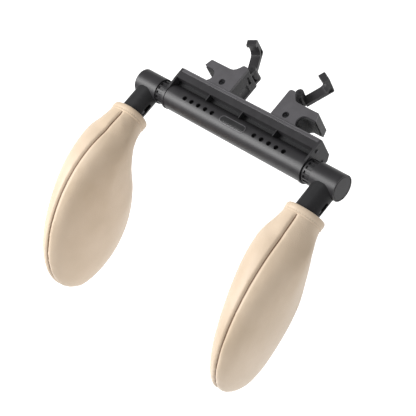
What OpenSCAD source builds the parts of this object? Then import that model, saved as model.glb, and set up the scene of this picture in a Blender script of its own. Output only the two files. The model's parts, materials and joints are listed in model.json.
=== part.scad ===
// Headrest side support for a car seat or an office chair with two headrest posts.
// Two clamps grip the posts. A bar in front of them carries two telescoping, turning arms,
// each with a soft side pad.
// Frame: the origin lies midway between the two post axes, halfway up the clamp jaws.
// +X runs along the bar, +Y points to the rear (away from the head), +Z runs up along the posts.
// The parts called right are on the +X side.

/* [Posts] */
// Distance from the middle of the bar to each post axis
post_x = 63; // [58:0.5:70]
// Radius of the jaw that holds a post
post_r = 6.2; // [5:0.1:6.3]

/* [Bar] */
// Half length of the moulded bar, without its end plates
bar_half = 89.7; // [85:0.1:95]
// Outer radius of the bar's tube
tube_r = 13.3; // [13:0.1:13.5]
// Wall of the tube
tube_wall = 2.3; // [2:0.1:2.5]
// How far the tube axis lies in front of the posts
tube_y = 33.5; // [33:0.5:35]
// Thickness of an end plate
plate_t = 2.3; // [2:0.1:3]
// Number of stops in each row of holes
stop_count = 5; // [3:1:5]
// Distance between two stops
stop_pitch = 9.4; // [8:0.1:9.6]
// Place of the innermost stop
stop_x = 27.9; // [27:0.1:30]
// Radius of a stop hole
stop_r = 2.5; // [2:0.1:2.8]

/* [Rail] */
// Height of the clamp rail
rail_h = 30; // [29:0.5:31]
// Front face of the rail, behind the tube
rail_front = 18; // [17.5:0.1:18.5]
// Rear face of the rail, which the posts nearly touch
rail_rear = 6.4; // [6.4:0.1:6.6]
// Wall of the rail
rail_wall = 2.4; // [2:0.1:2.6]
// Half height of the slot between the guide lips
slot_half = 7.7; // [7:0.1:8]
// Depth of a guide lip
lip_t = 2.2; // [2:0.1:2.4]

/* [Clamps] */
// Height of a clamp
clamp_h = 29; // [27:0.5:29]
// Thickness of the clamp's top plate
clamp_plate_t = 3.3; // [3:0.1:4]
// Thickness of the rubber liner in a jaw
liner_t = 1.2; // [1:0.1:1.5]
// Inner side of a clamp
clamp_in_x = 27.2; // [27:0.1:28]
// Length of the foot that runs in the rail
foot_len = 26; // [20:0.5:26]
// Running clearance of the foot in the rail
foot_gap = 0.3; // [0.2:0.05:0.4]

/* [Hooks] */
// Place of the swivel pin along the bar
hook_x = 31.5; // [31:0.1:32]
// Place of the swivel pin behind the posts
hook_y = 29.6; // [29:0.1:30]
// Angle of the hook, out from straight back
hook_splay = 26; // [0:1:30]
// Width of the hook strip
hook_w = 10.2; // [8:0.1:10.4]
// Radius of the swivel pin
hook_pin_r = 1.5; // [1.2:0.1:1.7]

/* [Arms] */
// Outer radius of the inner slide tube
slide_r = 10; // [9.5:0.1:10.2]
// Inner side of an elbow
elbow_x = 103; // [102.5:0.1:104]
// Length of an elbow without its cap
elbow_len = 27.6; // [27:0.1:29]
// Outer radius of an elbow
elbow_r = 13.4; // [13:0.1:13.6]
// Thickness of the elbow cap's disc
cap_t = 1.4; // [1:0.1:2]
// Place of the leg along the bar
leg_x = 117.4; // [117:0.1:118]
// Half width of the leg, along the bar
leg_half_w = 12.8; // [12:0.1:12.9]
// Half height of the leg
leg_half_h = 11; // [10:0.1:11.5]
// Wall of the leg
leg_wall = 2; // [1.6:0.1:2.4]
// Number of notches in a detent collar
notch_count = 16; // [12:1:20]

/* [Pads] */
// Seam plane of a pad, from the middle of the bar
pad_x = 116.2; // [116:0.1:118]
// Where the mouth of the cover begins, in front of the posts
mouth_y = 70; // [68:0.5:72]
// Width of the stitched hem at the mouth
hem_w = 8; // [6:0.5:9]
// Bulge of a pad on its outer side
bulge_out = 26.2; // [18:0.1:27]
// Bulge of a pad on its inner side
bulge_in = 21.6; // [16:0.1:22]
// Thickness of the leather cover
cover_t = 1.4; // [1.2:0.1:2]
// Thickness of the stiffening board inside a pad
board_t = 4; // [3:0.5:5]

/* [Hidden] */
$fn = 64;
eps = 0.02;
charcoal = [0.24, 0.235, 0.245];
strip_grey = [0.40, 0.39, 0.41];
black = [0.08, 0.08, 0.085];
steel = [0.62, 0.62, 0.64];
dark_steel = [0.12, 0.12, 0.13];
cream = [0.86, 0.80, 0.70];
foam_white = [0.93, 0.91, 0.84];

bar_end = bar_half + plate_t;
rail_top = rail_h / 2;
channel_half = rail_top - rail_wall;
channel_front = rail_front - rail_wall;
strip_split = rail_rear + 4.2;
groove_w = 0.8;
groove_d = 0.5;
clamp_top = clamp_h / 2;
clamp_bottom = -clamp_h / 2;
jaw_r = post_r + liner_t;
foot_half = channel_half - foot_gap;
neck_half = slot_half - foot_gap;
foot_rear = rail_rear + lip_t + foot_gap;
foot_front = channel_front - 0.8;
foot_x = clamp_in_x + 1;
plate_screw_y = rail_front - 1.2;
plate_screw_z = 9.5;
screw_x = 42;
screw_y = -0.6;
screw_hole_r = 3.5;
ear_t = 3.2;
barrel_bottom = -9;
barrel_top = 1.5;
barrel_r = 4.2;
ear_gap = 0.3;
collar_len = 9.6;
collar_r = 12.2;
collar_start = bar_end + 0.8;
bolt_r = 3.5;
fit_gap = 0.05;
leg_end = 112;
leg_slot_near = 52.5;
leg_slot_far = 66;
leg_slot_half = 2.3;
pad_start = mouth_y + hem_w + 0.3;
// Side view of a pad, as (distance in front of the posts, height): the upper seam and the lower seam
upper_seam = [[pad_start, 16.5], [199, 60], [283, -60], [229.1, -112.7]];
lower_seam = [[pad_start, -20], [100.1, -4.1], [105.7, -167], [229.1, -112.7]];
// How each pad sits on its leg: tilt down, twist round the leg, and turn outwards, in degrees
pad_pose_left = [-1.6, -5.7, -5];
pad_pose_right = [5.9, 13.2, 3.2];
pad_travel = 8;
tongue_half = 6;
tongue_near = 60.5;
tongue_far = 154;
stem_pin_y = 63.4;
stem_pin_r = 1.9;
pad_rings = 16;
pad_sides = 20;

// Mirrors a right-hand piece to the left when side is -1.
module on_side(side) {
    mirror([side < 0 ? 1 : 0, 0, 0]) children();
}

// A round bar along X, with its axis on the tube axis.
module tube_bar(r, x0, x1) {
    translate([x0, -tube_y, 0]) rotate([0, 90, 0]) cylinder(r = r, h = x1 - x0);
}

// A block given by two opposite corners.
module block(a, b) {
    translate(a) cube(b - a);
}

// An oval outline with flat top and bottom, half_w wide to each side and half_h high.
module oval(half_w, half_h) {
    offset_x = half_w - half_h;
    union() {
        translate([-offset_x, 0]) circle(half_h);
        translate([offset_x, 0]) circle(half_h);
        square([2 * offset_x, 2 * half_h], center = true);
    }
}

// An oval bar running forward from y0 to y1 (both distances in front of the posts).
module oval_bar(half_w, half_h, y0, y1) {
    translate([leg_x, -y0, 0]) rotate([90, 0, 0]) linear_extrude(y1 - y0) oval(half_w, half_h);
}

// ---- Bar -------------------------------------------------------------------------------------

// Tube, clamp rail and the ribbed trough between them, one moulding.
module bar_housing() {
    floor_z = 6.2;
    rib_t = 0.9;
    rib_step = 44.2;
    color(charcoal) difference() {
        union() {
            tube_bar(tube_r, -bar_half, bar_half);
            block([-bar_half, -rail_front, -rail_top], [bar_half, -strip_split, rail_top]);
            // Floor of the trough, and the web under it
            block([-bar_half, -rail_front - 5, floor_z - 2], [bar_half, -rail_front + eps, floor_z]);
            block([-bar_half, -rail_front - 5, -floor_z - 2], [bar_half, -rail_front + eps, -floor_z]);
            for (i = [-1:1]) {
                translate([i * rib_step - rib_t / 2, 0, 0]) rotate([90, 0, 90]) linear_extrude(rib_t)
                    polygon([[-rail_front + eps, rail_top - 1.9], [-rail_front - 7, tube_r - 0.6],
                        [-rail_front - 7, floor_z - 1], [-rail_front + eps, floor_z - 1]]);
            }
        }
        tube_bar(tube_r - tube_wall, -bar_half - 1, bar_half + 1);
        block([-bar_half - 1, -channel_front, -channel_half], [bar_half + 1, 0, channel_half]);
        for (side = [-1, 1]) {
            for (i = [0:stop_count - 1]) {
                translate([side * (stop_x + i * stop_pitch), -tube_y, 0]) cylinder(r = stop_r, h = 20);
            }
        }
    }
}

// A guide rail closes the channel along one edge and holds the clamp feet in.
module guide_rail(up) {
    mirror([0, 0, up ? 0 : 1]) color(strip_grey) difference() {
        union() {
            block([-bar_half, -strip_split + 0.1, channel_half], [bar_half, -rail_rear, rail_top]);
            block([-bar_half, -rail_rear - lip_t, slot_half], [bar_half, -rail_rear, rail_top]);
        }
        block([-bar_half - 1, -strip_split, rail_top - groove_d],
            [bar_half + 1, -strip_split + 0.1 + groove_w / 2, rail_top + 1]);
        block([-bar_half - 1, -rail_rear - 1.8, rail_top - groove_d],
            [bar_half + 1, -rail_rear - 1.8 + groove_w, rail_top + 1]);
    }
}

// An end plate covers the end of the rail and of the tube, and carries the slide tube.
module end_plate(side) {
    corner = 4.6;
    on_side(side) color(charcoal) difference() {
        translate([bar_half, 0, 0]) rotate([90, 0, 90]) linear_extrude(plate_t) {
            polygon([[-rail_rear - 0.8, rail_top], [-rail_front, rail_top],
                [-tube_y + 2, tube_r + 0.5], [-tube_y, -tube_r], [-rail_front, -rail_top],
                [-rail_rear - corner, -rail_top], [-rail_rear, -rail_top + corner],
                [-rail_rear, rail_top - 0.8]]);
            translate([-tube_y, 0]) circle(tube_r + 0.6);
        }
        tube_bar(slide_r + 0.4, bar_half - 1, bar_end + 1);
        for (z = [-plate_screw_z, plate_screw_z]) {
            translate([bar_half - 1, -plate_screw_y, z]) rotate([0, 90, 0])
                cylinder(r = 1.25, h = plate_t + 2);
        }
    }
}

// Four small screws that hold the end plates.
module end_plate_screws() {
    head_h = 0.9;
    color(dark_steel) for (side = [-1, 1]) {
        on_side(side) for (z = [-plate_screw_z, plate_screw_z]) {
            translate([bar_half + 0.3, -plate_screw_y, z]) rotate([0, 90, 0])
                cylinder(r = 1.15, h = plate_t);
            translate([bar_end + eps, -plate_screw_y, z]) rotate([0, 90, 0]) cylinder(r = 2, h = head_h);
        }
    }
}

// A plain raised plate on the tube, with a rim and a recessed middle.
module badge_plate() {
    half_len = 16.5;
    half_w = 4.6;
    base_z = tube_r + 0.03;
    color(black) difference() {
        translate([0, -tube_y, tube_r - 0.9]) linear_extrude(1.9) hull() {
            translate([-half_len + half_w, 0]) circle(half_w);
            translate([half_len - half_w, 0]) circle(half_w);
        }
        tube_bar(base_z, -half_len - 1, half_len + 1);
        translate([0, -tube_y, tube_r + 0.5]) linear_extrude(2) hull() {
            translate([-half_len + half_w, 0]) circle(half_w - 1.1);
            translate([half_len - half_w, 0]) circle(half_w - 1.1);
        }
    }
}

// A plastic bush centres the slide tube in the end of the bar.
module guide_bush(side) {
    bush_len = 12;
    on_side(side) color(foam_white) difference() {
        tube_bar(tube_r - tube_wall - fit_gap, bar_half - bush_len, bar_half - fit_gap);
        tube_bar(slide_r + fit_gap, bar_half - bush_len - 1, bar_half + 1);
    }
}

// A disc in the middle of the tube stops both slide tubes.
module centre_stop() {
    color(black) difference() {
        tube_bar(tube_r - tube_wall - fit_gap, -3, 3);
        tube_bar(4, -4, 4);
    }
}

// ---- Slides ----------------------------------------------------------------------------------

// Inner tube of an arm: it slides in the bar and its plugged end carries the pivot bolt.
module slide_tube(side) {
    tube_in = stop_x - 12;
    plug_x = collar_start - 2;
    tube_end = elbow_x - 0.1;
    on_side(side) color(steel) difference() {
        tube_bar(slide_r, tube_in, tube_end);
        tube_bar(slide_r - 1.6, tube_in - 1, plug_x);
        tube_bar(2.5 + fit_gap, plug_x - 1, tube_end + 1);
        translate([stop_x, -tube_y, 0]) cylinder(r = stop_r - 0.2, h = 20);
    }
}

// Bent leaf spring under the snap button.
module button_spring(side) {
    leaf_w = 5;
    leaf_t = 0.6;
    leaf_z = slide_r - 1.6 - 4.6;
    leaf_len = 20;
    on_side(side) color(steel) translate([stop_x, -tube_y - leaf_w / 2, 0]) {
        translate([-4, 0, leaf_z]) cube([leaf_len, leaf_w, leaf_t]);
        translate([leaf_len - 4 - eps, 0, -slide_r + 2.9])
            cube([leaf_t, leaf_w, leaf_z + slide_r - 2.9 + leaf_t]);
        translate([-4, 0, -slide_r + 2.9]) cube([leaf_len, leaf_w, leaf_t]);
    }
}

// Snap button seen through the innermost hole; pressing it frees the slide.
module snap_button(side) {
    button_r = stop_r - 0.2 - fit_gap;
    head_z = slide_r + 0.6;
    foot_z = slide_r - 1.6 - 1.2;
    on_side(side) color(strip_grey) translate([stop_x, -tube_y, 0]) {
        translate([0, 0, foot_z]) cylinder(r = button_r, h = head_z - foot_z - 0.4);
        translate([0, 0, head_z - 0.4 - eps]) cylinder(r1 = button_r, r2 = button_r - 0.6, h = 0.4);
        translate([0, 0, foot_z - 0.8]) cylinder(r = button_r + 0.9, h = 0.8 + eps);
    }
}

// Castellated collar between the bar and the elbow.
module detent_collar(side) {
    notch_w = 3;
    inner_band = 1.7;
    outer_band = 0.5;
    on_side(side) color(charcoal) difference() {
        tube_bar(collar_r, collar_start, collar_start + collar_len);
        tube_bar(slide_r + 0.08, collar_start - 1, collar_start + collar_len + 1);
        for (i = [0:notch_count - 1]) {
            translate([0, -tube_y, 0]) rotate([(i + 0.5) * 360 / notch_count, 0, 0])
                translate([collar_start + inner_band, -notch_w / 2, collar_r - 1.5])
                    cube([collar_len - inner_band - outer_band, notch_w, 4]);
        }
    }
}

// Shoulder bolt on which the elbow turns.
module pivot_bolt(side) {
    head_x = elbow_x + 5.2;
    on_side(side) color(steel) difference() {
        union() {
            tube_bar(2.5, collar_start, elbow_x);
            tube_bar(bolt_r, elbow_x - eps, head_x + eps);
            tube_bar(6, head_x, head_x + 3.4);
        }
        translate([head_x + 1.6, -tube_y, 0]) rotate([0, 90, 0]) cylinder(r = 2.6, h = 4, $fn = 6);
    }
}

// Spring washer that keeps the elbow turning stiffly.
module spring_washer(side) {
    on_side(side) color(steel) difference() {
        tube_bar(6.6, elbow_x + 4.1, elbow_x + 5.1);
        tube_bar(bolt_r + 0.15, elbow_x + 3, elbow_x + 6);
    }
}

// ---- Arms ------------------------------------------------------------------------------------

// Elbow housing: it turns on the pivot bolt and holds the leg.
module elbow(side) {
    on_side(side) color(charcoal) difference() {
        tube_bar(elbow_r, elbow_x, elbow_x + elbow_len);
        tube_bar(bolt_r + fit_gap, elbow_x - 1, elbow_x + 5);
        tube_bar(elbow_r - 2.4, elbow_x + 4, elbow_x + elbow_len + 1);
        oval_bar(leg_half_w - 4, leg_half_h - 4, tube_y + 4, tube_y + 20);
    }
}

// Flat disc that closes the outer end of an elbow.
module elbow_cap(side) {
    cap_x = elbow_x + elbow_len;
    on_side(side) color(charcoal) difference() {
        union() {
            tube_bar(elbow_r, cap_x, cap_x + cap_t);
            tube_bar(elbow_r - 2.4 - fit_gap, cap_x - 3, cap_x + eps);
        }
        tube_bar(elbow_r - 4.4, cap_x - 4, cap_x - 0.6);
        difference() {
            tube_bar(elbow_r - 1.2, cap_x + cap_t - 0.5, cap_x + cap_t + 1);
            tube_bar(elbow_r - 1.9, cap_x + cap_t - 1, cap_x + cap_t + 2);
        }
        // Room for the leg's tongue
        oval_bar(leg_half_w - 3.6, leg_half_h - 3.6, tube_y + 4, tube_y + 20);
    }
}

// Oval leg: saddle-cut to the elbow, plugged into it, with a long slot through both sides.
module leg(side) {
    on_side(side) color(charcoal) difference() {
        union() {
            difference() {
                oval_bar(leg_half_w, leg_half_h, tube_y, leg_end);
                tube_bar(elbow_r + 0.12, elbow_x - 20, elbow_x + elbow_len + 20);
            }
            oval_bar(leg_half_w - 4.1, leg_half_h - 4.1, tube_y + 8.5, tube_y + 24);
        }
        difference() {
            oval_bar(leg_half_w - leg_wall, leg_half_h - leg_wall, tube_y + 16, leg_end + 1);
            // A web keeps the plug end closed
            block([leg_x - 20, -tube_y - 18, -20], [leg_x + 20, -tube_y, 20]);
        }
        for (y = [leg_slot_near + leg_slot_half, leg_slot_far - leg_slot_half]) {
            translate([leg_x - 20, -y, 0]) rotate([0, 90, 0]) cylinder(r = leg_slot_half, h = 40);
        }
        block([leg_x - 20, -leg_slot_far + leg_slot_half, -leg_slot_half],
            [leg_x + 20, -leg_slot_near - leg_slot_half, leg_slot_half]);
    }
}

// ---- Pads ------------------------------------------------------------------------------------

function mix(a, b, t) = a + (b - a) * t;
function bezier(p, t) = let (u = 1 - t)
    u * u * u * p[0] + 3 * u * u * t * p[1] + 3 * u * t * t * p[2] + t * t * t * p[3];
// How full the pad is at t, from 0 at the hem to 1 at the tip
function fullness(t) = mix(0.82, 1, sin(90 * min(1, t / 0.35))) * sqrt(max(0, 1 - pow(t, 3.2)));
function round_sine(a) = sign(sin(a)) * pow(abs(sin(a)), 0.9);

// One ring of the pad's skin: the outline at t, pulled in by inset.
function pad_ring(t, inset) = let (
        up = bezier(upper_seam, t),
        low = bezier(lower_seam, t),
        mid = (up + low) / 2,
        half = (up - low) / 2,
        half_len = norm(half),
        k = max(0.05, (half_len - inset) / half_len),
        f = fullness(t),
        side_out = max(0.3, bulge_out * f - inset),
        side_in = max(0.3, bulge_in * f - inset))
    [for (i = [0:pad_sides - 1]) let (a = i * 360 / pad_sides, c = cos(a), s = round_sine(a))
        [pad_x + (s > 0 ? side_out : side_in) * s, -(mid[0] + half[0] * k * c), mid[1] + half[1] * k * c]];

function strip_faces(rings, sides) = [for (r = [0:rings - 2], i = [0:sides - 1]) let (j = (i + 1) % sides)
    [r * sides + i, r * sides + j, (r + 1) * sides + j, (r + 1) * sides + i]];

// A closed skin through rings of points, with flat ends.
module skin(rings) {
    n = len(rings);
    m = len(rings[0]);
    polyhedron(points = [for (r = rings, p = r) p],
        faces = concat([[for (i = [m - 1:-1:0]) i]], strip_faces(n, m),
            [[for (i = [0:m - 1]) (n - 1) * m + i]]),
        convexity = 4);
}

// Rings crowd towards the tip, where the outline turns fastest.
function pad_t(i) = 1 - pow(1 - i / (pad_rings - 1), 1.5);

module pad_shape(inset, t_end) {
    skin([for (i = [0:pad_rings - 1]) pad_ring(pad_t(i) * t_end, inset)]);
}

// The pad's mouth outline, grown by grow and carried from y0 to y1.
module mouth_tube(grow, y0, y1) {
    translate([0, -y0, 0]) rotate([90, 0, 0]) linear_extrude(y1 - y0)
        polygon([for (p = pad_ring(0, -grow)) [p[0], p[2]]]);
}

// Tilts, twists and turns a pad about the middle of its mouth.
module pad_pose(side) {
    pose = side < 0 ? pad_pose_left : pad_pose_right;
    pivot = [leg_x, -mouth_y - 2, 0];
    translate(pivot) rotate([0, 0, pose[2]]) rotate([pose[0], 0, 0]) rotate([0, pose[1], 0]) translate(-pivot)
        children();
}

// Leather cover.
module pad_cover(side) {
    on_side(side) color(cream) pad_pose(side) difference() {
        pad_shape(0, 0.985);
        pad_shape(cover_t, 0.965);
        mouth_tube(-cover_t, mouth_y, pad_start + 0.6);
    }
}

// Folded and stitched hem at the mouth of the cover.
module pad_hem(side) {
    on_side(side) color(cream) pad_pose(side) difference() {
        mouth_tube(0.8, mouth_y, pad_start - 0.3);
        mouth_tube(-2.2, mouth_y - 1, pad_start + 1);
    }
}

// Foam filling, with room for the board and the leg.
module pad_foam(side) {
    on_side(side) color(foam_white) difference() {
        pad_pose(side) pad_shape(cover_t + 0.3, 0.93);
        board_room(side);
        oval_bar(leg_half_w + 0.2, leg_half_h + 0.2, mouth_y, leg_end + pad_travel + 0.3);
    }
}

// Outline of the board: the pad's side view, well inside its seam.
module board_outline(grow) {
    steps = 12;
    reach = 0.7;
    rings = [for (i = [0:steps]) let (
            t = 0.27 + 0.53 * i / steps,
            up = bezier(upper_seam, t),
            low = bezier(lower_seam, t),
            mid = (up + low) / 2,
            half = (up - low) / 2 * reach)
        [mid + half * (1 + grow / norm(half)), mid - half * (1 + grow / norm(half))]];
    polygon(concat([for (r = rings) [-r[0][0], r[0][1]]],
        [for (i = [steps:-1:0]) [-rings[i][1][0], rings[i][1][1]]]));
}

// The board's sheet, grown by grow on every side.
module board_sheet(grow) {
    translate([leg_x - board_t / 2 - grow, 0, 0]) rotate([90, 0, 90]) linear_extrude(board_t + 2 * grow)
        board_outline(grow);
}

module board_room(side) {
    room = 0.4;
    pad_pose(side) board_sheet(room);
    block([leg_x - tongue_half - room, -tongue_far - room, -tongue_half - room],
        [leg_x + tongue_half + room, -leg_end, tongue_half + room]);
}

// Stiff board inside the foam, with a tongue that plugs into the leg and takes the pin.
module pad_board(side) {
    on_side(side) color(black) difference() {
        union() {
            pad_pose(side) board_sheet(0);
            block([leg_x - tongue_half, -tongue_far, -tongue_half],
                [leg_x + tongue_half, -tongue_near, tongue_half]);
        }
        translate([leg_x - 20, -stem_pin_y, 0]) rotate([0, 90, 0]) cylinder(r = stem_pin_r + fit_gap, h = 40);
    }
}

// Pin through the tongue; its ends run in the long slots of the leg.
module stem_pin(side) {
    pin_half = leg_half_w - 1;
    on_side(side) color(dark_steel)
        translate([leg_x - pin_half, -stem_pin_y, 0]) rotate([0, 90, 0])
            cylinder(r = stem_pin_r, h = 2 * pin_half);
}

// ---- Clamps ----------------------------------------------------------------------------------

// Plan view of a clamp: a block with a rear bump and a finger that reaches round the post.
module clamp_plan() {
    bump_r = 3;
    bump_y = 25;
    finger_y = 15.7;
    finger_end = 70;
    tip_x = 72.4;
    corner = [for (a = [180:-15:90])
        [clamp_in_x + bump_r + bump_r * cos(a), bump_y - bump_r + bump_r * sin(a)]];
    difference() {
        polygon(concat([[clamp_in_x, -rail_rear + foot_gap]], corner,
            [[33, bump_y], [34.6, 24.2], [36, 21.4], [38.5, 18.2], [41, 16.4], [44.5, finger_y],
            [finger_end, finger_y], [tip_x, 7.6], [post_x, 0], [post_x - 2, -rail_rear + foot_gap]]));
        translate([post_x, 0]) circle(jaw_r);
        translate([post_x, -jaw_r]) square([20, 2 * jaw_r]);
    }
}

// Main block of a clamp, with the foot that runs in the rail and the two ears of the hook.
module clamp_body(side) {
    body_top = clamp_top - clamp_plate_t;
    nut_h = 3.4;
    on_side(side) color(charcoal) difference() {
        union() {
            translate([0, 0, clamp_bottom]) linear_extrude(body_top - clamp_bottom - 0.02) clamp_plan();
            block([foot_x, -foot_rear - eps, -neck_half], [foot_x + foot_len, -rail_rear + 1, neck_half]);
            block([foot_x, -foot_front, -foot_half], [foot_x + foot_len, -foot_rear, foot_half]);
            for (z = [barrel_bottom - ear_gap - ear_t, barrel_top + ear_gap]) {
                translate([hook_x, hook_y, z]) cylinder(r = barrel_r + 0.1, h = ear_t);
                block([clamp_in_x + 0.4, 20, z], [hook_x + 2.6, hook_y - 2, z + ear_t]);
            }
        }
        // Room for the hook's barrel between the ears
        translate([hook_x, hook_y, barrel_bottom - ear_gap])
            cylinder(r = barrel_r + 0.5, h = barrel_top - barrel_bottom + 2 * ear_gap);
        translate([hook_x, hook_y, -30]) cylinder(r = hook_pin_r + fit_gap, h = 60);
        // Screw passage and nut pocket
        translate([screw_x, screw_y, -30]) cylinder(r = 2.05, h = 60);
        translate([screw_x, screw_y, clamp_bottom - 1]) cylinder(r = 4.05, h = nut_h + 1, $fn = 6);
        // Scoop and slot in the inner side
        translate([clamp_in_x - 9.4, 14, -6]) rotate([90, 0, 0])
            cylinder(r = 11, h = 12);
        block([clamp_in_x - 1, 16.8, -4], [clamp_in_x + 1.8, 19.6, 6.5]);
    }
}

// Top plate of a clamp, with the round hole over the screw.
module clamp_plate(side) {
    on_side(side) color(strip_grey) difference() {
        translate([0, 0, clamp_top - clamp_plate_t]) linear_extrude(clamp_plate_t) clamp_plan();
        translate([screw_x, screw_y, clamp_top - clamp_plate_t - 1])
            cylinder(r = screw_hole_r, h = clamp_plate_t + 2);
    }
}

// Rubber liner of a jaw: it grips about four tenths of the way round the post.
module post_liner(side) {
    inset = 2.6;
    lead = 8.2;
    on_side(side) color(black)
        translate([0, 0, clamp_bottom + inset]) linear_extrude(clamp_h - 2 * inset) difference() {
            union() {
                translate([post_x, 0]) circle(jaw_r - 0.02);
                translate([post_x, 0]) square([lead, jaw_r - 0.02]);
            }
            translate([post_x, 0]) circle(post_r);
            translate([post_x, -20]) square([20, 20 + post_r]);
            translate([post_x - 20, -20 - 4.9]) square([40, 20]);
        }
}

// Cross-head screw that draws the plate and the body together.
module clamp_screw(side) {
    head_z = clamp_top - clamp_plate_t + 0.02;
    tip_z = clamp_bottom + 0.6;
    on_side(side) color(dark_steel) translate([screw_x, screw_y, 0]) difference() {
        union() {
            translate([0, 0, head_z]) cylinder(r = 3.3, h = 1.6);
            translate([0, 0, tip_z]) cylinder(r = 1.98, h = head_z - tip_z + eps);
        }
        for (a = [0, 90]) {
            rotate([0, 0, a + 30]) translate([-1.9, -0.35, head_z + 0.8]) cube([3.8, 0.7, 2]);
        }
    }
}

// Hexagon nut in the underside of a clamp.
module clamp_nut(side) {
    nut_h = 3;
    on_side(side) color(steel) translate([screw_x, screw_y, clamp_bottom + 0.3]) difference() {
        cylinder(r = 4, h = nut_h, $fn = 6);
        translate([0, 0, -1]) cylinder(r = 2, h = nut_h + 2);
    }
}

// Friction pad on the front of the foot, which holds the clamp where it is set.
module friction_pad(side) {
    on_side(side) color(black)
        block([foot_x + 3, -channel_front + 0.25, -foot_half + 3],
            [foot_x + foot_len - 3, -foot_front - 0.02, foot_half - 3]);
}

// ---- Hooks -----------------------------------------------------------------------------------

// Side view of a hook: out from its pin along X, and up along Y.
module hook_profile() {
    polygon([[0, -8.7], [28.9, -8.7], [30, -8.2], [30.5, -7.2], [30.5, 11.6], [29.6, 12.5], [23.6, 12.5],
        [23, 11.9], [23, 8.9], [23.6, 8.3], [25.2, 8.3], [25.7, 6.8], [25.5, 1.6], [24.6, -1.6], [22.6, -3.8],
        [19.4, -4.5], [0, -4.5]]);
}

// Fold-out bag hook. Its knuckle sits at the inner edge of the strip.
module hook(side) {
    inner_edge = 0.9;
    pocket = 1.3;
    outer_edge = inner_edge - hook_w;
    on_side(side) color(charcoal)
        translate([hook_x, hook_y, 0]) rotate([0, 0, 90 - hook_splay]) difference() {
        union() {
            translate([0, inner_edge, 0]) rotate([90, 0, 0]) linear_extrude(hook_w) hook_profile();
            translate([0, 0, barrel_bottom]) cylinder(r = barrel_r, h = barrel_top - barrel_bottom);
        }
        translate([0, 0, -20]) cylinder(r = hook_pin_r + fit_gap, h = 40);
        // Pockets in both side faces of the heel
        for (y = [inner_edge + 1, outer_edge + pocket]) {
            translate([0, y, 0]) rotate([90, 0, 0]) linear_extrude(pocket + 1)
                polygon([[24, -6.9], [28.9, -6.9], [28.9, -1.2], [27, -1.6], [25.4, -4.6]]);
        }
    }
}

// Steel pin of a hook.
module hook_pin(side) {
    on_side(side) color(dark_steel)
        translate([hook_x, hook_y, barrel_bottom - ear_gap - ear_t])
            cylinder(r = hook_pin_r, h = barrel_top - barrel_bottom + 2 * (ear_gap + ear_t));
}

bar_housing();
guide_rail(true);  // guide_rail_upper
guide_rail(false);  // guide_rail_lower
end_plate(-1);  // end_plate_left
end_plate(1);  // end_plate_right
end_plate_screws();
badge_plate();
guide_bush(-1);  // guide_bush_left
guide_bush(1);  // guide_bush_right
centre_stop();
slide_tube(-1);  // slide_tube_left
slide_tube(1);  // slide_tube_right
button_spring(-1);  // button_spring_left
button_spring(1);  // button_spring_right
snap_button(-1);  // snap_button_left
snap_button(1);  // snap_button_right
detent_collar(-1);  // detent_collar_left
detent_collar(1);  // detent_collar_right
pivot_bolt(-1);  // pivot_bolt_left
pivot_bolt(1);  // pivot_bolt_right
spring_washer(-1);  // spring_washer_left
spring_washer(1);  // spring_washer_right
elbow(-1);  // elbow_left
elbow(1);  // elbow_right
elbow_cap(-1);  // elbow_cap_left
elbow_cap(1);  // elbow_cap_right
leg(-1);  // leg_left
leg(1);  // leg_right
pad_board(-1);  // pad_board_left
pad_board(1);  // pad_board_right
stem_pin(-1);  // stem_pin_left
stem_pin(1);  // stem_pin_right
pad_foam(-1);  // pad_foam_left
pad_foam(1);  // pad_foam_right
pad_cover(-1);  // pad_cover_left
pad_cover(1);  // pad_cover_right
pad_hem(-1);  // pad_hem_left
pad_hem(1);  // pad_hem_right
clamp_body(-1);  // clamp_body_left
clamp_body(1);  // clamp_body_right
clamp_plate(-1);  // clamp_plate_left
clamp_plate(1);  // clamp_plate_right
post_liner(-1);  // post_liner_left
post_liner(1);  // post_liner_right
clamp_screw(-1);  // clamp_screw_left
clamp_screw(1);  // clamp_screw_right
clamp_nut(-1);  // clamp_nut_left
clamp_nut(1);  // clamp_nut_right
friction_pad(-1);  // friction_pad_left
friction_pad(1);  // friction_pad_right
hook(-1);  // hook_left
hook(1);  // hook_right
hook_pin(-1);  // hook_pin_left
hook_pin(1);  // hook_pin_right
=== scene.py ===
# %% [markdown]
# # A headrest side support with two leather pads
# A side support grips the two steel posts of a headrest. Its bar carries two arms that telescope and turn,
# and each arm ends in a stuffed leather pad for the head. The working frame of the part comes from the
# CAD model, and Blender adds what the eye sees: rounded plastic edges, puffed leather, seams and stitches.

# %% Load the working frame
import json
import math

import bmesh
import bpy
from mathutils import Matrix, Vector, noise


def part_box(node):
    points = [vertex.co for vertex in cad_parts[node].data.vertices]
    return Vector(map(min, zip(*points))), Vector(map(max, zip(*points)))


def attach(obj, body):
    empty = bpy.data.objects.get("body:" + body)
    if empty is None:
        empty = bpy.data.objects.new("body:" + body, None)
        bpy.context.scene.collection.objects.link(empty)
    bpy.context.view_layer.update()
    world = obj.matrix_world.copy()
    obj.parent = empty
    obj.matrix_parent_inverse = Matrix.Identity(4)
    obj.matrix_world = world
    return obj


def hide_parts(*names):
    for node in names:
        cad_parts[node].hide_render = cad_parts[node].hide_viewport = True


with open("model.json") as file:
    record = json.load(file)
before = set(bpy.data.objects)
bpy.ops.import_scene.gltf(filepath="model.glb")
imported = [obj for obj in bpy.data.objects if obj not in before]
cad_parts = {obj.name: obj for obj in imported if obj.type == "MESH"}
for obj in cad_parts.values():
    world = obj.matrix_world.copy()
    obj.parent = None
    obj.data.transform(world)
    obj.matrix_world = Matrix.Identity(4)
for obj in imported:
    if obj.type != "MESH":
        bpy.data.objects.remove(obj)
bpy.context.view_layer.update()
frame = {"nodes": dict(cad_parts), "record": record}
MM = 0.001
SIDES = {"left": -1, "right": 1}

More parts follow.
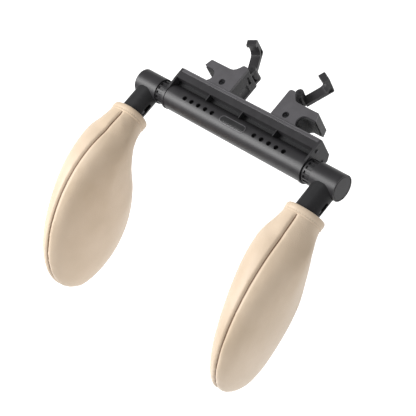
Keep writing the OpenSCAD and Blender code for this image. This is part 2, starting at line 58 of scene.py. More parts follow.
# %% [markdown]
# ## Camera
# A long lens keeps the perspective mild. The camera looks down at the part from the front right, and it is
# rolled, so the bar runs steeply across the picture. Its axes are written out, because a rolled camera is
# easier to set from three directions than from angles.

# %% Camera
CAMERA_PLACE = Vector((0.6665, -0.3475, 0.9090))
CAMERA_RIGHT = Vector((0.70885, 0.62000, -0.33635))
CAMERA_UP = Vector((-0.42782, 0.75703, 0.49384))
CAMERA_LENS = 104.5

camera_data = bpy.data.cameras.new("studio_camera")
camera_data.lens = CAMERA_LENS
camera_data.sensor_width = 36
camera = bpy.data.objects.new("studio_camera", camera_data)
bpy.context.scene.collection.objects.link(camera)
camera_back = CAMERA_RIGHT.cross(CAMERA_UP).normalized()
turn = Matrix((CAMERA_RIGHT, CAMERA_UP, camera_back)).transposed()
camera.matrix_world = Matrix.Translation(CAMERA_PLACE) @ turn.to_4x4()
bpy.context.scene.camera = camera
print("camera looks along", [round(-c, 3) for c in camera_back])

# %% [markdown]
# ## Light and floor
# Large soft lights suit dark plastic: their reflections draw the long pale streak on the tube, while the
# pads stay nearly free of hard shadows. The floor is a plain pale sheet well below the part.

# %% Light
WORLD_STRENGTH = 0.38


def soft_light(name, place, target, size, power):
    data = bpy.data.lights.new(name, "AREA")
    data.shape = "SQUARE"
    data.size = size
    data.energy = power
    light = bpy.data.objects.new(name, data)
    bpy.context.scene.collection.objects.link(light)
    direction = Vector(target) - Vector(place)
    turned = direction.to_track_quat("-Z", "Y").to_matrix().to_4x4()
    light.matrix_world = Matrix.Translation(Vector(place)) @ turned
    return light


soft_light("key_light", place=(-0.70, -0.58, 0.90), target=(0, -0.08, 0), size=0.8, power=24)
soft_light("side_light", place=(1.1, -0.5, 0.6), target=(0, -0.1, 0), size=0.9, power=4)
world = bpy.data.worlds.new("studio_world")
world.use_nodes = True
world.node_tree.nodes["Background"].inputs["Color"].default_value = (1, 1, 1, 1)
world.node_tree.nodes["Background"].inputs["Strength"].default_value = WORLD_STRENGTH
bpy.context.scene.world = world
bpy.context.scene.view_settings.view_transform = "Standard"

# %% [markdown]
# ## Finishes
# Moulded plastic is never one flat colour. It has a fine spark-eroded grain, slight changes of gloss, and a
# faint mottle. Each finish is built from noise that is fixed to the object, so it stays put in any view.

# %% A blank finish and the noise helper
def blank_finish(name):
    finish = bpy.data.materials.new(name)
    finish.use_nodes = True
    return finish, finish.node_tree.nodes, finish.node_tree.links, finish.node_tree.nodes["Principled BSDF"]


def noise_at(nodes, links, place, scale, detail=2.0):
    texture = nodes.new("ShaderNodeTexNoise")
    texture.inputs["Scale"].default_value = scale
    texture.inputs["Detail"].default_value = detail
    links.new(place.outputs["Object"], texture.inputs["Vector"])
    return texture.outputs["Fac"]


def colour_ramp(nodes, links, source, stops):
    ramp = nodes.new("ShaderNodeValToRGB")
    ramp.color_ramp.elements[0].position = stops[0][0]
    ramp.color_ramp.elements[0].color = (*stops[0][1], 1)
    ramp.color_ramp.elements[1].position = stops[-1][0]
    ramp.color_ramp.elements[1].color = (*stops[-1][1], 1)
    for position, colour in stops[1:-1]:
        ramp.color_ramp.elements.new(position).color = (*colour, 1)
    links.new(source, ramp.inputs["Fac"])
    return ramp.outputs["Color"]


def range_of(nodes, links, source, low, high):
    mapped = nodes.new("ShaderNodeMapRange")
    mapped.inputs["To Min"].default_value = low
    mapped.inputs["To Max"].default_value = high
    links.new(source, mapped.inputs["Value"])
    return mapped.outputs["Result"]


def bump_from(nodes, links, height, strength, distance, before=None):
    bump = nodes.new("ShaderNodeBump")
    bump.inputs["Strength"].default_value = strength
    bump.inputs["Distance"].default_value = distance
    links.new(height, bump.inputs["Height"])
    if before is not None:
        links.new(before, bump.inputs["Normal"])
    return bump.outputs["Normal"]


# %% Plastics, rubber and steel
MOTTLE_SCALE = 90
GRAIN_DEPTH = 0.00015
STEEL_STRETCH = (60, 1500, 1500)
STEEL_DEPTH = 0.0001


def moulded(name, dark, light, gloss_low, gloss_high, grain, strength, shine):
    """A moulded or rubbery finish: mottle in the colour, changes of gloss, and a fine grain."""
    finish, nodes, links, shader = blank_finish(name)
    shader.inputs["Specular IOR Level"].default_value = shine
    place = nodes.new("ShaderNodeTexCoord")
    mottle = noise_at(nodes, links, place, MOTTLE_SCALE, 4)
    links.new(colour_ramp(nodes, links, mottle, [(0.3, dark), (0.7, light)]), shader.inputs["Base Color"])
    links.new(range_of(nodes, links, mottle, gloss_low, gloss_high), shader.inputs["Roughness"])
    fine = noise_at(nodes, links, place, grain)
    links.new(bump_from(nodes, links, fine, strength, GRAIN_DEPTH), shader.inputs["Normal"])
    return finish


def turned_steel(name, dark, light):
    """Steel with fine marks drawn out along X, as turning leaves them."""
    finish, nodes, links, shader = blank_finish(name)
    shader.inputs["Metallic"].default_value = 1.0
    place = nodes.new("ShaderNodeTexCoord")
    stretch = nodes.new("ShaderNodeMapping")
    stretch.inputs["Scale"].default_value = STEEL_STRETCH
    links.new(place.outputs["Object"], stretch.inputs["Vector"])
    marks = nodes.new("ShaderNodeTexNoise")
    marks.inputs["Scale"].default_value = 1
    links.new(stretch.outputs["Vector"], marks.inputs["Vector"])
    greys = [(0.35, dark), (0.65, light)]
    links.new(colour_ramp(nodes, links, marks.outputs["Fac"], greys), shader.inputs["Base Color"])
    links.new(range_of(nodes, links, marks.outputs["Fac"], 0.22, 0.42), shader.inputs["Roughness"])
    links.new(bump_from(nodes, links, marks.outputs["Fac"], 0.15, STEEL_DEPTH), shader.inputs["Normal"])
    return finish


# Name: dark and light colour, lowest and highest roughness, grain scale, grain strength, shine.
PLASTICS = {
    "charcoal_plastic": ((0.019, 0.018, 0.020), (0.026, 0.025, 0.027), 0.36, 0.45, 2200, 0.22, 0.36),
    "strip_plastic": ((0.058, 0.055, 0.060), (0.070, 0.067, 0.073), 0.42, 0.54, 2200, 0.25, 0.5),
    # The legs' own dark plastic, also laid as painted shade in the trough and on pieces inside the bar.
    "leg_plastic": ((0.011, 0.011, 0.012), (0.015, 0.015, 0.016), 0.46, 0.56, 2200, 0.22, 0.26),
    "black_plastic": ((0.012, 0.012, 0.013), (0.020, 0.020, 0.021), 0.18, 0.30, 1600, 0.08, 0.5),
    "white_plastic": ((0.62, 0.60, 0.54), (0.70, 0.68, 0.62), 0.35, 0.5, 1600, 0.15, 0.5),
    "board_plastic": ((0.020, 0.020, 0.022), (0.030, 0.030, 0.032), 0.5, 0.7, 1200, 0.3, 0.5),
    "rubber": ((0.010, 0.010, 0.011), (0.018, 0.018, 0.019), 0.6, 0.8, 1800, 0.35, 0.5),
}
FINISHES = {name: moulded(name, *values) for name, values in PLASTICS.items()}
FINISHES["steel"] = turned_steel("steel", (0.48, 0.48, 0.49), (0.66, 0.66, 0.67))
FINISHES["dark_steel"] = turned_steel("dark_steel", (0.045, 0.045, 0.048), (0.075, 0.075, 0.080))
print("finishes:", sorted(FINISHES))

# %% [markdown]
# Leather is three layers: a slow drift of colour from the hide, a net of small cells for the grain, and
# soft creases. The cells come from a Voronoi pattern, whose edges make the fine valleys between the grains.

# %% Leather
HIDE_SCALE = 22
DRIFT_SCALE = 260
DRIFT_REACH = (0.0012, 0.0012, 0.0012)
CELL_DEPTH = 0.0004
CREASE_SCALE = 70
CREASE_DEPTH = 0.0012


def leather(name, deep, middle, pale, grain_scale):
    finish, nodes, links, shader = blank_finish(name)
    shader.inputs["Sheen Weight"].default_value = 0.12
    shader.inputs["Specular IOR Level"].default_value = 0.42
    place = nodes.new("ShaderNodeTexCoord")
    hide = noise_at(nodes, links, place, HIDE_SCALE, 5)
    tones = [(0.25, deep), (0.5, middle), (0.75, pale)]
    links.new(colour_ramp(nodes, links, hide, tones), shader.inputs["Base Color"])
    cells = nodes.new("ShaderNodeTexVoronoi")
    cells.feature = "DISTANCE_TO_EDGE"
    cells.inputs["Scale"].default_value = grain_scale
    wander = nodes.new("ShaderNodeVectorMath")
    wander.operation = "MULTIPLY_ADD"
    drift = nodes.new("ShaderNodeTexNoise")
    drift.inputs["Scale"].default_value = DRIFT_SCALE
    links.new(place.outputs["Object"], drift.inputs["Vector"])
    links.new(drift.outputs["Color"], wander.inputs[0])
    wander.inputs[1].default_value = DRIFT_REACH
    links.new(place.outputs["Object"], wander.inputs[2])
    links.new(wander.outputs["Vector"], cells.inputs["Vector"])
    valleys = range_of(nodes, links, cells.outputs["Distance"], 0, 1)
    grain = bump_from(nodes, links, valleys, 0.45, CELL_DEPTH)
    soft = noise_at(nodes, links, place, CREASE_SCALE, 3)
    links.new(bump_from(nodes, links, soft, 0.18, CREASE_DEPTH, grain), shader.inputs["Normal"])
    links.new(range_of(nodes, links, hide, 0.42, 0.58), shader.inputs["Roughness"])
    return finish


# Name: deep, middle and pale colour, and the scale of the grain.
LEATHERS = {
    "leather": ((0.53, 0.415, 0.295), (0.575, 0.455, 0.335), (0.615, 0.495, 0.375), 620),
    # The seam colour is a dark brown painted shade for the crease where the two panels meet.
    "seam_leather": ((0.11, 0.060, 0.032), (0.14, 0.080, 0.044), (0.17, 0.10, 0.058), 620),
    "thread": ((0.60, 0.50, 0.38), (0.68, 0.58, 0.45), (0.74, 0.65, 0.52), 1500),
}
for name, values in LEATHERS.items():
    FINISHES[name] = leather(name, *values)
print("leather, its seam and its thread are ready")

# %% [markdown]
# ## Rounded plastic pieces
# Every moulded edge is slightly round, and that roundness is what catches the light. The frame already
# holds the exact shapes, so a copy of each is joined up, freed of needless edges, and given a small bevel
# on its sharp edges only. Flat faces keep flat shading through weighted normals.

# %% Helpers for making and handing over a piece
WELD = 2e-6
FLAT_DEGREES = 0.6
BEVEL_STEPS = 2
BEVEL_DEGREES = 33


def make_piece(name, work, finish, body, slot_name, *nodes_replaced):
    """Turns a bmesh into an object at the origin that rides on a body."""
    mesh = bpy.data.meshes.new(name)
    work.to_mesh(mesh)
    work.free()
    piece = bpy.data.objects.new(name, mesh)
    bpy.context.scene.collection.objects.link(piece)
    for material in finish if isinstance(finish, list) else [finish]:
        mesh.materials.append(material)
    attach(piece, body)
    if nodes_replaced:
        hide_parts(*nodes_replaced)
    return piece


def shade(work, sharp_angle=38):
    """Smooth shading, with a crease wherever two faces meet at more than sharp_angle degrees."""
    for face in work.faces:
        face.smooth = True
    for edge in work.edges:
        edge.smooth = len(edge.link_faces) == 2 and edge.calc_face_angle(0) < math.radians(sharp_angle)


def weigh_normals(piece):
    modifier = piece.modifiers.new("weighted_normals", "WEIGHTED_NORMAL")
    modifier.keep_sharp = True
    return piece


def slot_of(node):
    """The material slot that the CAD record gives this node."""
    return next(entry["material_slot"] for entry in frame["record"]["subparts"] if entry["node"] == node)


def sharp_edges(work, degrees):
    """Edges where two faces meet at more than this angle. An edge without two faces counts as flat."""
    return [e for e in work.edges if e.calc_face_angle(0) > math.radians(degrees)]


def bevel(work, edges, width, steps):
    bmesh.ops.bevel(work, geom=edges, offset=width, offset_type="OFFSET", segments=steps, profile=0.5,
                    affect="EDGES", clamp_overlap=True, material=-1)


def rounded(node, body, slot_name, width, finish=None):
    """A copy of a CAD node with its sharp edges bevelled, standing for that node."""
    work = bmesh.new()
    work.from_mesh(frame["nodes"][node].data)
    bmesh.ops.remove_doubles(work, verts=work.verts, dist=WELD)
    bmesh.ops.dissolve_limit(work, angle_limit=math.radians(FLAT_DEGREES), verts=work.verts,
                             edges=work.edges)
    bevel(work, sharp_edges(work, BEVEL_DEGREES), width, BEVEL_STEPS)
    shade(work)
    piece = make_piece(node + "_moulding", work, FINISHES[finish or slot_name], body, slot_name, node)
    return weigh_normals(piece)


# %% Bar, rails and end plates
BAR_AXIS_Y = -0.0335
TUBE_RADIUS = 0.0133
TROUGH_FRONT, TROUGH_REAR = -0.0300, -0.0186
TROUGH_TOP = 0.0125
TUBE_SKIN = 0.0002


def in_trough(place):
    """True for the walls and floor of the trough behind the tube, which get hardly any light and so carry
    painted shade.
    """
    off_axis = math.hypot(place.y - BAR_AXIS_Y, place.z)
    in_box = TROUGH_FRONT < place.y < TROUGH_REAR and 0 < place.z < TROUGH_TOP
    return in_box and off_axis > TUBE_RADIUS + TUBE_SKIN


# Node: width of its bevel in millimetres.
BAR_BEVELS = {"bar_housing": 0.30, "guide_rail_upper": 0.22, "guide_rail_lower": 0.22,
              "end_plate_left": 0.35, "end_plate_right": 0.35}
for node, width in BAR_BEVELS.items():
    piece = rounded(node, "bar", slot_of(node), width * MM)
    if node == "bar_housing":
        # The trough faces get the darkest plastic: painted shade behind the tube.
        piece.data.materials.append(FINISHES["leg_plastic"])
        for face in piece.data.polygons:
            face.material_index = 1 if in_trough(face.center) else 0
    print(piece.name, len(piece.data.polygons), "faces")

# %% Collars, elbows, legs, clamps and hooks
# Node, the body it rides on, and the width of its bevel in millimetres.
SIDE_BEVELS = (("detent_collar", "slide", 0.25), ("elbow", "arm", 0.5), ("elbow_cap", "arm", 0.3),
               ("leg", "arm", 0.45), ("clamp_body", "clamp", 0.45), ("clamp_plate", "clamp", 0.45),
               ("post_liner", "clamp", 0.2), ("hook", "hook", 0.45))
for side in SIDES:
    for node, part, width in SIDE_BEVELS:
        name = f"{node}_{side}"
        finish = "leg_plastic" if node == "leg" else None
        piece = rounded(name, f"{side}_{part}", slot_of(name), width * MM, finish)
        print(piece.name, len(piece.data.polygons), "faces")

# %% [markdown]
# ## Badge
# A small oval plate sits between the two rows of holes. It carries no name, only a plain glossy field
# inside a raised rim. The rings of its outline are bent round the tube.

# %% Badge with a raised rim
BADGE_SIDES = 48
badge_low, badge_high = (Vector(corner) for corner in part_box("badge_plate"))
BADGE_RADIUS = (badge_high.y - badge_low.y) / 2
BADGE_STRAIGHT = (badge_high.x - badge_low.x) / 2 - BADGE_RADIUS
BADGE_AXIS_Y = (badge_high.y + badge_low.y) / 2


def badge_ring(inset, height):
    """Points of the oval, pulled in by inset and lifted by height off the tube."""
    points = []
    for k in range(BADGE_SIDES):
        angle = 2 * math.pi * (k + 0.5) / BADGE_SIDES
        radius = BADGE_RADIUS - inset
        x = math.copysign(BADGE_STRAIGHT, math.cos(angle)) + radius * math.cos(angle)
        y = radius * math.sin(angle)
        points.append(Vector((x, BADGE_AXIS_Y + y, math.sqrt((TUBE_RADIUS + height) ** 2 - y * y))))
    return points


badge = bmesh.new()
# How far each ring is pulled in, and how high it stands off the tube.
BADGE_SECTION = ((0, -0.0003), (0, 0.00035), (0.00025, 0.0006), (0.0009, 0.0006), (0.0012, 0.0002),
                 (0.0026, 0.0002), (0.0042, 0.0002))
FIELD_TOP = 0.0003
rings = []
for inset, height in BADGE_SECTION:
    verts = bmesh.ops.create_circle(badge, segments=BADGE_SIDES, radius=1)["verts"]
    verts = sorted(verts, key=lambda v: math.atan2(v.co.y, v.co.x) % (2 * math.pi))
    for vert, place in zip(verts, badge_ring(inset, height)):
        vert.co = place
    rings.append(list({e for v in verts for e in v.link_edges}))
for a, b in zip(rings, rings[1:]):
    bmesh.ops.bridge_loops(badge, edges=a + b)
bmesh.ops.holes_fill(badge, edges=rings[0], sides=BADGE_SIDES)
bmesh.ops.holes_fill(badge, edges=rings[-1], sides=BADGE_SIDES)
bmesh.ops.recalc_face_normals(badge, faces=badge.faces)
for face in badge.faces:
    middle = face.calc_center_median()
    lift = math.hypot(middle.y - BADGE_AXIS_Y, middle.z) - TUBE_RADIUS
    face.material_index = 1 if 0 < lift < FIELD_TOP and face.normal.z > 0.5 else 0
shade(badge, 50)
badge_finishes = [FINISHES["strip_plastic"], FINISHES["black_plastic"]]
badge_piece = make_piece("badge_plate_oval", badge, badge_finishes, "bar", "black_plastic", "badge_plate")
print(badge_piece.name, len(badge_piece.data.polygons), "faces")

# %% [markdown]
# ## Leather pads
# A pad is two leather panels sewn together along its edge and stuffed. The outline is two smooth curves in
# the side view. The sewing pattern is lofted to the outline, then inflated with a cloth simulation, which
# gives the slack, living surface that a lofted shape lacks. Seam and creases follow, as they are finer.

# %% The pad's outline
MOUTH = 0.070
HEM_WIDTH = 0.008
PAD_START = MOUTH + HEM_WIDTH + 0.0003
PAD_X = 0.1162
LEG_X = 0.1174
BULGE_OUT = 0.0262
BULGE_IN = 0.0216
FULL_AT_MOUTH = 0.82
FULL_GAIN = 0.18
FULL_REACH = 0.35
TIP_POWER = 3.2
SIDE_POWER = 0.9
UPPER_SEAM = [Vector(p) * MM for p in ((78.3, 16.5), (199, 60), (283, -60), (229.1, -112.7))]
LOWER_SEAM = [Vector(p) * MM for p in ((78.3, -20), (100.1, -4.1), (105.7, -167), (229.1, -112.7))]


def along(curve, t):
    u = 1 - t
    return u ** 3 * curve[0] + 3 * u * u * t * curve[1] + 3 * u * t * t * curve[2] + t ** 3 * curve[3]


def fullness(t):
    """How much of its full thickness the pad has at t: it swells behind the mouth and closes at the tip."""
    rise = FULL_AT_MOUTH + FULL_GAIN * math.sin(math.radians(90 * min(1, t / FULL_REACH)))
    return rise * math.sqrt(max(0, 1 - t ** TIP_POWER))


def pad_point(t, angle, inset):
    """A point of the pad's skin on the right-hand side, at t along the pad and angle round it."""
    up, low = along(UPPER_SEAM, t), along(LOWER_SEAM, t)
    middle, half = (up + low) / 2, (up - low) / 2
    shrink = max(0.05, (half.length - inset) / half.length)
    s = math.sin(angle)
    s = math.copysign(abs(s) ** SIDE_POWER, s)
    depth = max(0.0003, (BULGE_OUT if s > 0 else BULGE_IN) * fullness(t) - inset)
    c = math.cos(angle) * shrink
    return Vector((PAD_X + depth * s, -(middle.x + half.x * c), middle.y + half.y * c))


print("pad from", round(PAD_START, 4), "to", [round(c, 4) for c in along(UPPER_SEAM, 1)])

# %% [markdown]
# The pads sit a little crooked on their legs: each one is tilted, twisted and turned by some degrees about
# the middle of its mouth, as soft covers are when somebody has just pushed them on.

# %% How each pad sits on its leg
POSE_DEGREES = {"left": {"tilt": -1.6, "twist": -5.7, "turn": -5.0},
                "right": {"tilt": 5.9, "twist": 13.2, "turn": 3.2}}
PIVOT_BEHIND_MOUTH = 0.002


def pad_pose(side):
    angles = {name: math.radians(value) for name, value in POSE_DEGREES[side].items()}
    pivot = Matrix.Translation((LEG_X, -MOUTH - PIVOT_BEHIND_MOUTH, 0))
    turned = Matrix.Rotation(angles["turn"], 4, "Z") @ Matrix.Rotation(angles["tilt"], 4, "X")
    return pivot @ turned @ Matrix.Rotation(angles["twist"], 4, "Y") @ pivot.inverted()


def to_side(work, side):
    """Moves a right-hand piece to its own side. A mirrored piece has its faces turned right way out."""
    if SIDES[side] < 0:
        bmesh.ops.transform(work, matrix=Matrix.Scale(-1, 4, (1, 0, 0)), verts=work.verts)
        bmesh.ops.reverse_faces(work, faces=work.faces)


print("poses for", sorted(POSE_DEGREES))

# %% Loft the pattern
RINGS = 30
TAIL_RINGS = 5
TAIL_STEP = 0.004
SEGMENTS = 40
INSET = -0.0006
EASE_IN = 0.030
CROWDING = 1.5
TIP = 0.985


def pattern_ring(step):
    """One ring of points. The first few carry the mouth's outline straight back, to be cut off later."""
    if step < TAIL_RINGS:
        t, back = 0, (TAIL_RINGS - step) * TAIL_STEP
    else:
        t, back = (1 - (1 - (step - TAIL_RINGS) / (RINGS - 1)) ** CROWDING) * TIP, 0
    inset = INSET * min(1, (along(UPPER_SEAM, t).x - PAD_START) / EASE_IN)
    return [pad_point(t, 2 * math.pi * k / SEGMENTS, inset) + Vector((0, back, 0)) for k in range(SEGMENTS)]


def loft_pad():
    """A tube of rings from behind the hem to the tip, closed at both ends."""
    work = bmesh.new()
    first = bmesh.ops.create_circle(work, segments=SEGMENTS, radius=1)["verts"]
    ring = sorted(first, key=lambda v: math.atan2(v.co.y, v.co.x) % (2 * math.pi))
    edges = work.edges[:]
    last = RINGS + TAIL_RINGS - 1
    for step in range(last + 1):
        for vert, place in zip(ring, pattern_ring(step)):
            vert.co = place
        if step < last:
            order = {v: k for k, v in enumerate(ring)}
            grown = bmesh.ops.extrude_edge_only(work, edges=edges)["geom"]
            new_verts = [g for g in grown if isinstance(g, bmesh.types.BMVert)]
            new_edges = [g for g in grown if isinstance(g, bmesh.types.BMEdge)]
            edges = [e for e in new_edges if all(v in new_verts for v in e.verts)]
            nearest = {v: min(ring, key=lambda o: (o.co - v.co).length_squared) for v in new_verts}
            ring = sorted(new_verts, key=lambda v: order[nearest[v]])
    bmesh.ops.holes_fill(work, edges=work.edges, sides=SEGMENTS)
    bmesh.ops.recalc_face_normals(work, faces=work.faces)
    return work


# %% Inflate it
VOXEL = 0.0045
CAP = 0.005
FRAMES = 20
PRESSURE = 4.0


def inflate(work):
    """Cloth simulation on a copy: remesh, press outward, and cap how far each point moves.
"""
    mesh = bpy.data.meshes.new("pad_pattern")
    work.to_mesh(mesh)
    work.free()
    pattern = bpy.data.objects.new("pad_pattern", mesh)
    bpy.context.scene.collection.objects.link(pattern)
    remesh = pattern.modifiers.new("remesh", "REMESH")
    remesh.mode = "VOXEL"
    remesh.voxel_size = VOXEL
    depsgraph = bpy.context.evaluated_depsgraph_get()
    result = bpy.data.meshes.new_from_object(pattern.evaluated_get(depsgraph))
    pattern.modifiers.clear()
    pattern.data = result
    start = [v.co.copy() for v in result.vertices]
    cloth = pattern.modifiers.new("cloth", "CLOTH")
    cloth.settings.use_pressure = True
    cloth.settings.uniform_pressure_force = PRESSURE
    cloth.settings.effector_weights.gravity = 0
    cloth.point_cache.frame_start = 1
    cloth.point_cache.frame_end = FRAMES
    for number in range(1, FRAMES + 1):
        bpy.context.scene.frame_set(number)
    depsgraph = bpy.context.evaluated_depsgraph_get()
    result = bpy.data.meshes.new_from_object(pattern.evaluated_get(depsgraph))
    for vert, was in zip(result.vertices, start):
        move = vert.co - was
        most = CAP * min(1, max(0, (-was.y - PAD_START) / EASE_IN))
        vert.co = was + move.normalized() * min(move.length, most)
    puffed = bmesh.new()
    puffed.from_mesh(result)
    bpy.data.objects.remove(pattern)
    bpy.context.scene.frame_set(1)
    return puffed


padding = inflate(loft_pad())
for pass_number in range(2):
    bmesh.ops.smooth_vert(padding, verts=padding.verts, factor=0.5, use_axis_x=True, use_axis_y=True,
                          use_axis_z=True)
puffed_mesh = bpy.data.meshes.new("puffed_pad")
padding.to_mesh(puffed_mesh)
padding.free()
print("puffed pad:", len(puffed_mesh.vertices), "points")

# %% [markdown]
# The seam is cut in after the simulation, because the remesh would lose it: planes on both sides of the
# middle slice the skin finely, the strip between the closest two is coloured dark as painted shade of the
# seam's crease, and the skin sinks towards it. Faint creases gather behind the hem.

# %% Seam and creases
SEAM_HALF = 0.00065
SEAM_SINK = 0.0019
SEAM_SPREAD = 0.0017
SEAM_CUTS = (0.0011, 0.0017, 0.0028, 0.0042, 0.0060)
CREASE_REACH = 0.055
CREASE_WAVES = (45, 38, 120)
SLOW_WAVES = (18, 14, 18)
CREASE_SINK = 0.0009
SLOW_SINK = 0.0008
SEAM_EASE = 0.004
SEEDS = {"left": 3.1, "right": 8.4}


def crease(place, seed):
    """How far a point sinks in the soft creases, which are deepest behind the hem."""
    reach = max(0, 1 - (-place.y - PAD_START) / CREASE_REACH)
    x, y, z = CREASE_WAVES
    wave = noise.noise(Vector((place.x * x + seed, place.y * y, place.z * z)))
    x, y, z = SLOW_WAVES
    slow = noise.noise(Vector((place.x * x + seed, place.y * y, place.z * z + 7)))
    return CREASE_SINK * reach * reach * wave + SLOW_SINK * slow


def slice_at(work, place, normal, drop_outer=False):
    """Cuts the mesh along a plane, and drops the part in front of it if that is asked for."""
    bmesh.ops.bisect_plane(work, geom=work.verts[:] + work.edges[:] + work.faces[:], dist=1e-6,
                           plane_co=place, plane_no=normal, clear_outer=drop_outer)


def cut_seam(work, seed):
    for offset in [sign * cut for cut in (SEAM_HALF,) + SEAM_CUTS for sign in (-1, 1)]:
        slice_at(work, (PAD_X + offset, 0, 0), (1, 0, 0))
    for face in work.faces:
        face.smooth = True
        middle = face.calc_center_median()
        # Faces in the seam strip take the dark seam colour, a painted shade of the crease.
        in_seam = abs(middle.x - PAD_X) < SEAM_HALF and -middle.y > PAD_START
        face.material_index = 1 if in_seam else 0
    work.normal_update()
    for vert in work.verts:
        if -vert.co.y > PAD_START:
            across = (vert.co.x - PAD_X) / SEAM_SPREAD
            on_edge = 1 - vert.normal.x ** 2
            ease = min(1, (-vert.co.y - PAD_START) / SEAM_EASE)
            sink = SEAM_SINK * math.exp(-across * across) * on_edge * (0.4 + 0.6 * ease)
            vert.co -= vert.normal * (sink + crease(vert.co, seed) * ease)


# %% [markdown]
# The mouth of a cover is a pocket for the leg. The skin is cut off inside the hem, its edge is carried in
# to an oval a little larger than the leg, and from there on into the pad, to a floor that the leg never
# reaches.

# %% Pocket for the leg
LEG_HALF_WIDTH = 0.0128
LEG_HALF_HEIGHT = 0.0110
POCKET_GAP = 0.0009
POCKET_END = 0.1215
SKIN_END = MOUTH + 0.003
# How deep each step of the pocket lies, and how much wider than the leg it is there.
POCKET_STEPS = ((SKIN_END, 0.0022), (SKIN_END + 0.002, 0), (POCKET_END, 0))


def cut_pocket(work):
    rim = [e for e in work.edges if e.is_boundary]
    for depth, spare in POCKET_STEPS:
        grown = bmesh.ops.extrude_edge_only(work, edges=rim)["geom"]
        rim = [g for g in grown if isinstance(g, bmesh.types.BMEdge) and g.is_boundary]
        for vert in {v for e in rim for v in e.verts}:
            angle = math.atan2(vert.co.z, vert.co.x - LEG_X)
            wide, high = LEG_HALF_WIDTH + POCKET_GAP + spare, LEG_HALF_HEIGHT + POCKET_GAP + spare
            reach = 1 / math.hypot(math.cos(angle) / wide, math.sin(angle) / high)
            vert.co = (LEG_X + reach * math.cos(angle), -depth, reach * math.sin(angle))
    bmesh.ops.edgeloop_fill(work, edges=rim)


def finish_cover(side):
    work = bmesh.new()
    work.from_mesh(puffed_mesh)
    bmesh.ops.subdivide_edges(work, edges=work.edges, cuts=1, use_grid_fill=True, smooth=0.6)
    cut_seam(work, SEEDS[side])
    slice_at(work, (0, -SKIN_END, 0), (0, 1, 0), drop_outer=True)
    bmesh.ops.transform(work, matrix=pad_pose(side), verts=work.verts)
    cut_pocket(work)
    to_side(work, side)
    piece = make_piece(f"pad_cover_{side}_leather", work, [FINISHES["leather"], FINISHES["seam_leather"]],
                       f"{side}_pad", "leather", f"pad_cover_{side}", f"pad_foam_{side}")
    return piece


for side in SIDES:
    cover = finish_cover(side)
    print(cover.name, len(cover.data.polygons), "faces")

# %% [markdown]
# ## Hem and stitches
# The mouth of the cover is folded back on itself and sewn down with thread. The band is one section bridged
# round the mouth, with rounded lips, and each stitch is a short bead set half into it.

# %% Hem band
HEM_GROW = 0.0004
HEM_WALL = 0.0026
HEM_SIDES = 72
LIP_BEVEL = 0.0006
# The band's section: how far it stands out from the mouth, and how far back it lies.
HEM_SECTION = ((-HEM_WALL, 0), (-0.0002, 0), (HEM_GROW, 0.0012), (HEM_GROW + 0.0003, 0.0034),
               (HEM_GROW, 0.0052), (HEM_GROW - 0.0003, 0.0060), (HEM_GROW, 0.0068), (HEM_GROW, HEM_WIDTH),
               (-HEM_WALL, HEM_WIDTH))


def mouth_point(angle, grow, forward):
    point = pad_point(0, angle, -grow)
    return Vector((point.x, -(MOUTH + forward), point.z))


def hem_band(side):
    """The folded band: rings across its section, bridged and bevelled."""
    work = bmesh.new()
    loops = []
    for grow, forward in HEM_SECTION:
        verts = bmesh.ops.create_circle(work, segments=HEM_SIDES, radius=1)["verts"]
        verts = sorted(verts, key=lambda v: math.atan2(v.co.y, v.co.x) % (2 * math.pi))
        for k, vert in enumerate(verts):
            vert.co = mouth_point(2 * math.pi * k / HEM_SIDES, grow, forward)
        loops.append(list({e for v in verts for e in v.link_edges}))
    for a, b in zip(loops, loops[1:] + loops[:1]):
        bmesh.ops.bridge_loops(work, edges=a + b)
    bevel(work, sharp_edges(work, 60), LIP_BEVEL, 3)
    bmesh.ops.transform(work, matrix=pad_pose(side), verts=work.verts)
    bmesh.ops.recalc_face_normals(work, faces=work.faces)
    to_side(work, side)
    shade(work, 50)
    return make_piece(f"pad_hem_{side}_band", work, FINISHES["leather"], f"{side}_pad", "leather",
                      f"pad_hem_{side}")


for side in SIDES:
    print(hem_band(side).name)

# %% Stitches
STITCH_PLACE = 0.0060
STITCHES = 48
STITCH_HALF_ANGLE = 0.038
THREAD_RADIUS = 0.00030


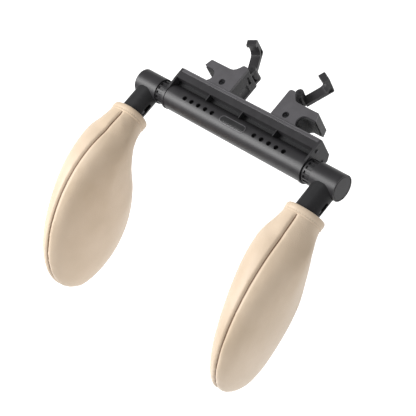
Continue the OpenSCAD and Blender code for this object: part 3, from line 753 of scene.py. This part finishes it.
def stitch_row(side):
    work = bmesh.new()
    for k in range(STITCHES):
        angle = 2 * math.pi * k / STITCHES
        here, there = (mouth_point(angle + turn, HEM_GROW - 0.0003, STITCH_PLACE)
                       for turn in (-STITCH_HALF_ANGLE, STITCH_HALF_ANGLE))
        run = there - here
        bead = bmesh.ops.create_icosphere(work, subdivisions=1, radius=1)["verts"]
        out = Vector((run.z, 0, -run.x)).normalized()
        turn = Matrix((run.normalized(), Vector((0, 1, 0)), out)).transposed().to_4x4()
        size = Matrix.Diagonal((run.length * 0.5, THREAD_RADIUS, THREAD_RADIUS, 1))
        bmesh.ops.transform(work, matrix=Matrix.Translation((here + there) / 2) @ turn @ size, verts=bead)
    bmesh.ops.transform(work, matrix=pad_pose(side), verts=work.verts)
    bmesh.ops.recalc_face_normals(work, faces=work.faces)
    to_side(work, side)
    shade(work, 80)
    return make_piece(f"hem_stitches_{side}", work, FINISHES["thread"], f"{side}_pad", "leather")


for side in SIDES:
    print(stitch_row(side).name)

# %% [markdown]
# ## The pieces that stay as they are
# Bolts, springs, bushes and other inner pieces are right as the frame gives them, so they only get a
# finish.

# %% Finish for the other pieces
for entry in frame["record"]["subparts"]:
    node = frame["nodes"][entry["node"]]
    if not node.hide_render:
        # Pieces inside the bar are seen only through its holes and gaps, so they get the darkest plastic as
        # painted shade.
        inside_bar = entry["node"].startswith(("slide_tube", "snap_button"))
        finish = FINISHES["leg_plastic" if inside_bar else entry["material_slot"]]
        for material_slot in node.material_slots:
            material_slot.material = finish
print("kept as they are:", sum(not n.hide_render for n in frame["nodes"].values()))

# %% Floor
FLOOR_HALF = 15
FLOOR_Z = -0.30
FLOOR_GLOW = 0.3
floor_work = bmesh.new()
bmesh.ops.create_grid(floor_work, x_segments=8, y_segments=8, size=FLOOR_HALF)
bmesh.ops.translate(floor_work, verts=floor_work.verts, vec=(0, 0, FLOOR_Z))
floor_mesh = bpy.data.meshes.new("floor")
floor_work.to_mesh(floor_mesh)
floor_work.free()
floor = bpy.data.objects.new("floor", floor_mesh)
bpy.context.scene.collection.objects.link(floor)
floor_paint = moulded("floor_paint", (0.88, 0.88, 0.88), (0.92, 0.92, 0.92), 0.8, 0.9, 300, 0.02, 0.5)
floor_shader = floor_paint.node_tree.nodes["Principled BSDF"]
floor_shader.inputs["Emission Color"].default_value = (1, 1, 1, 1)
floor_shader.inputs["Emission Strength"].default_value = FLOOR_GLOW
floor_mesh.materials.append(floor_paint)
print("floor is", 2 * FLOOR_HALF, "m wide")
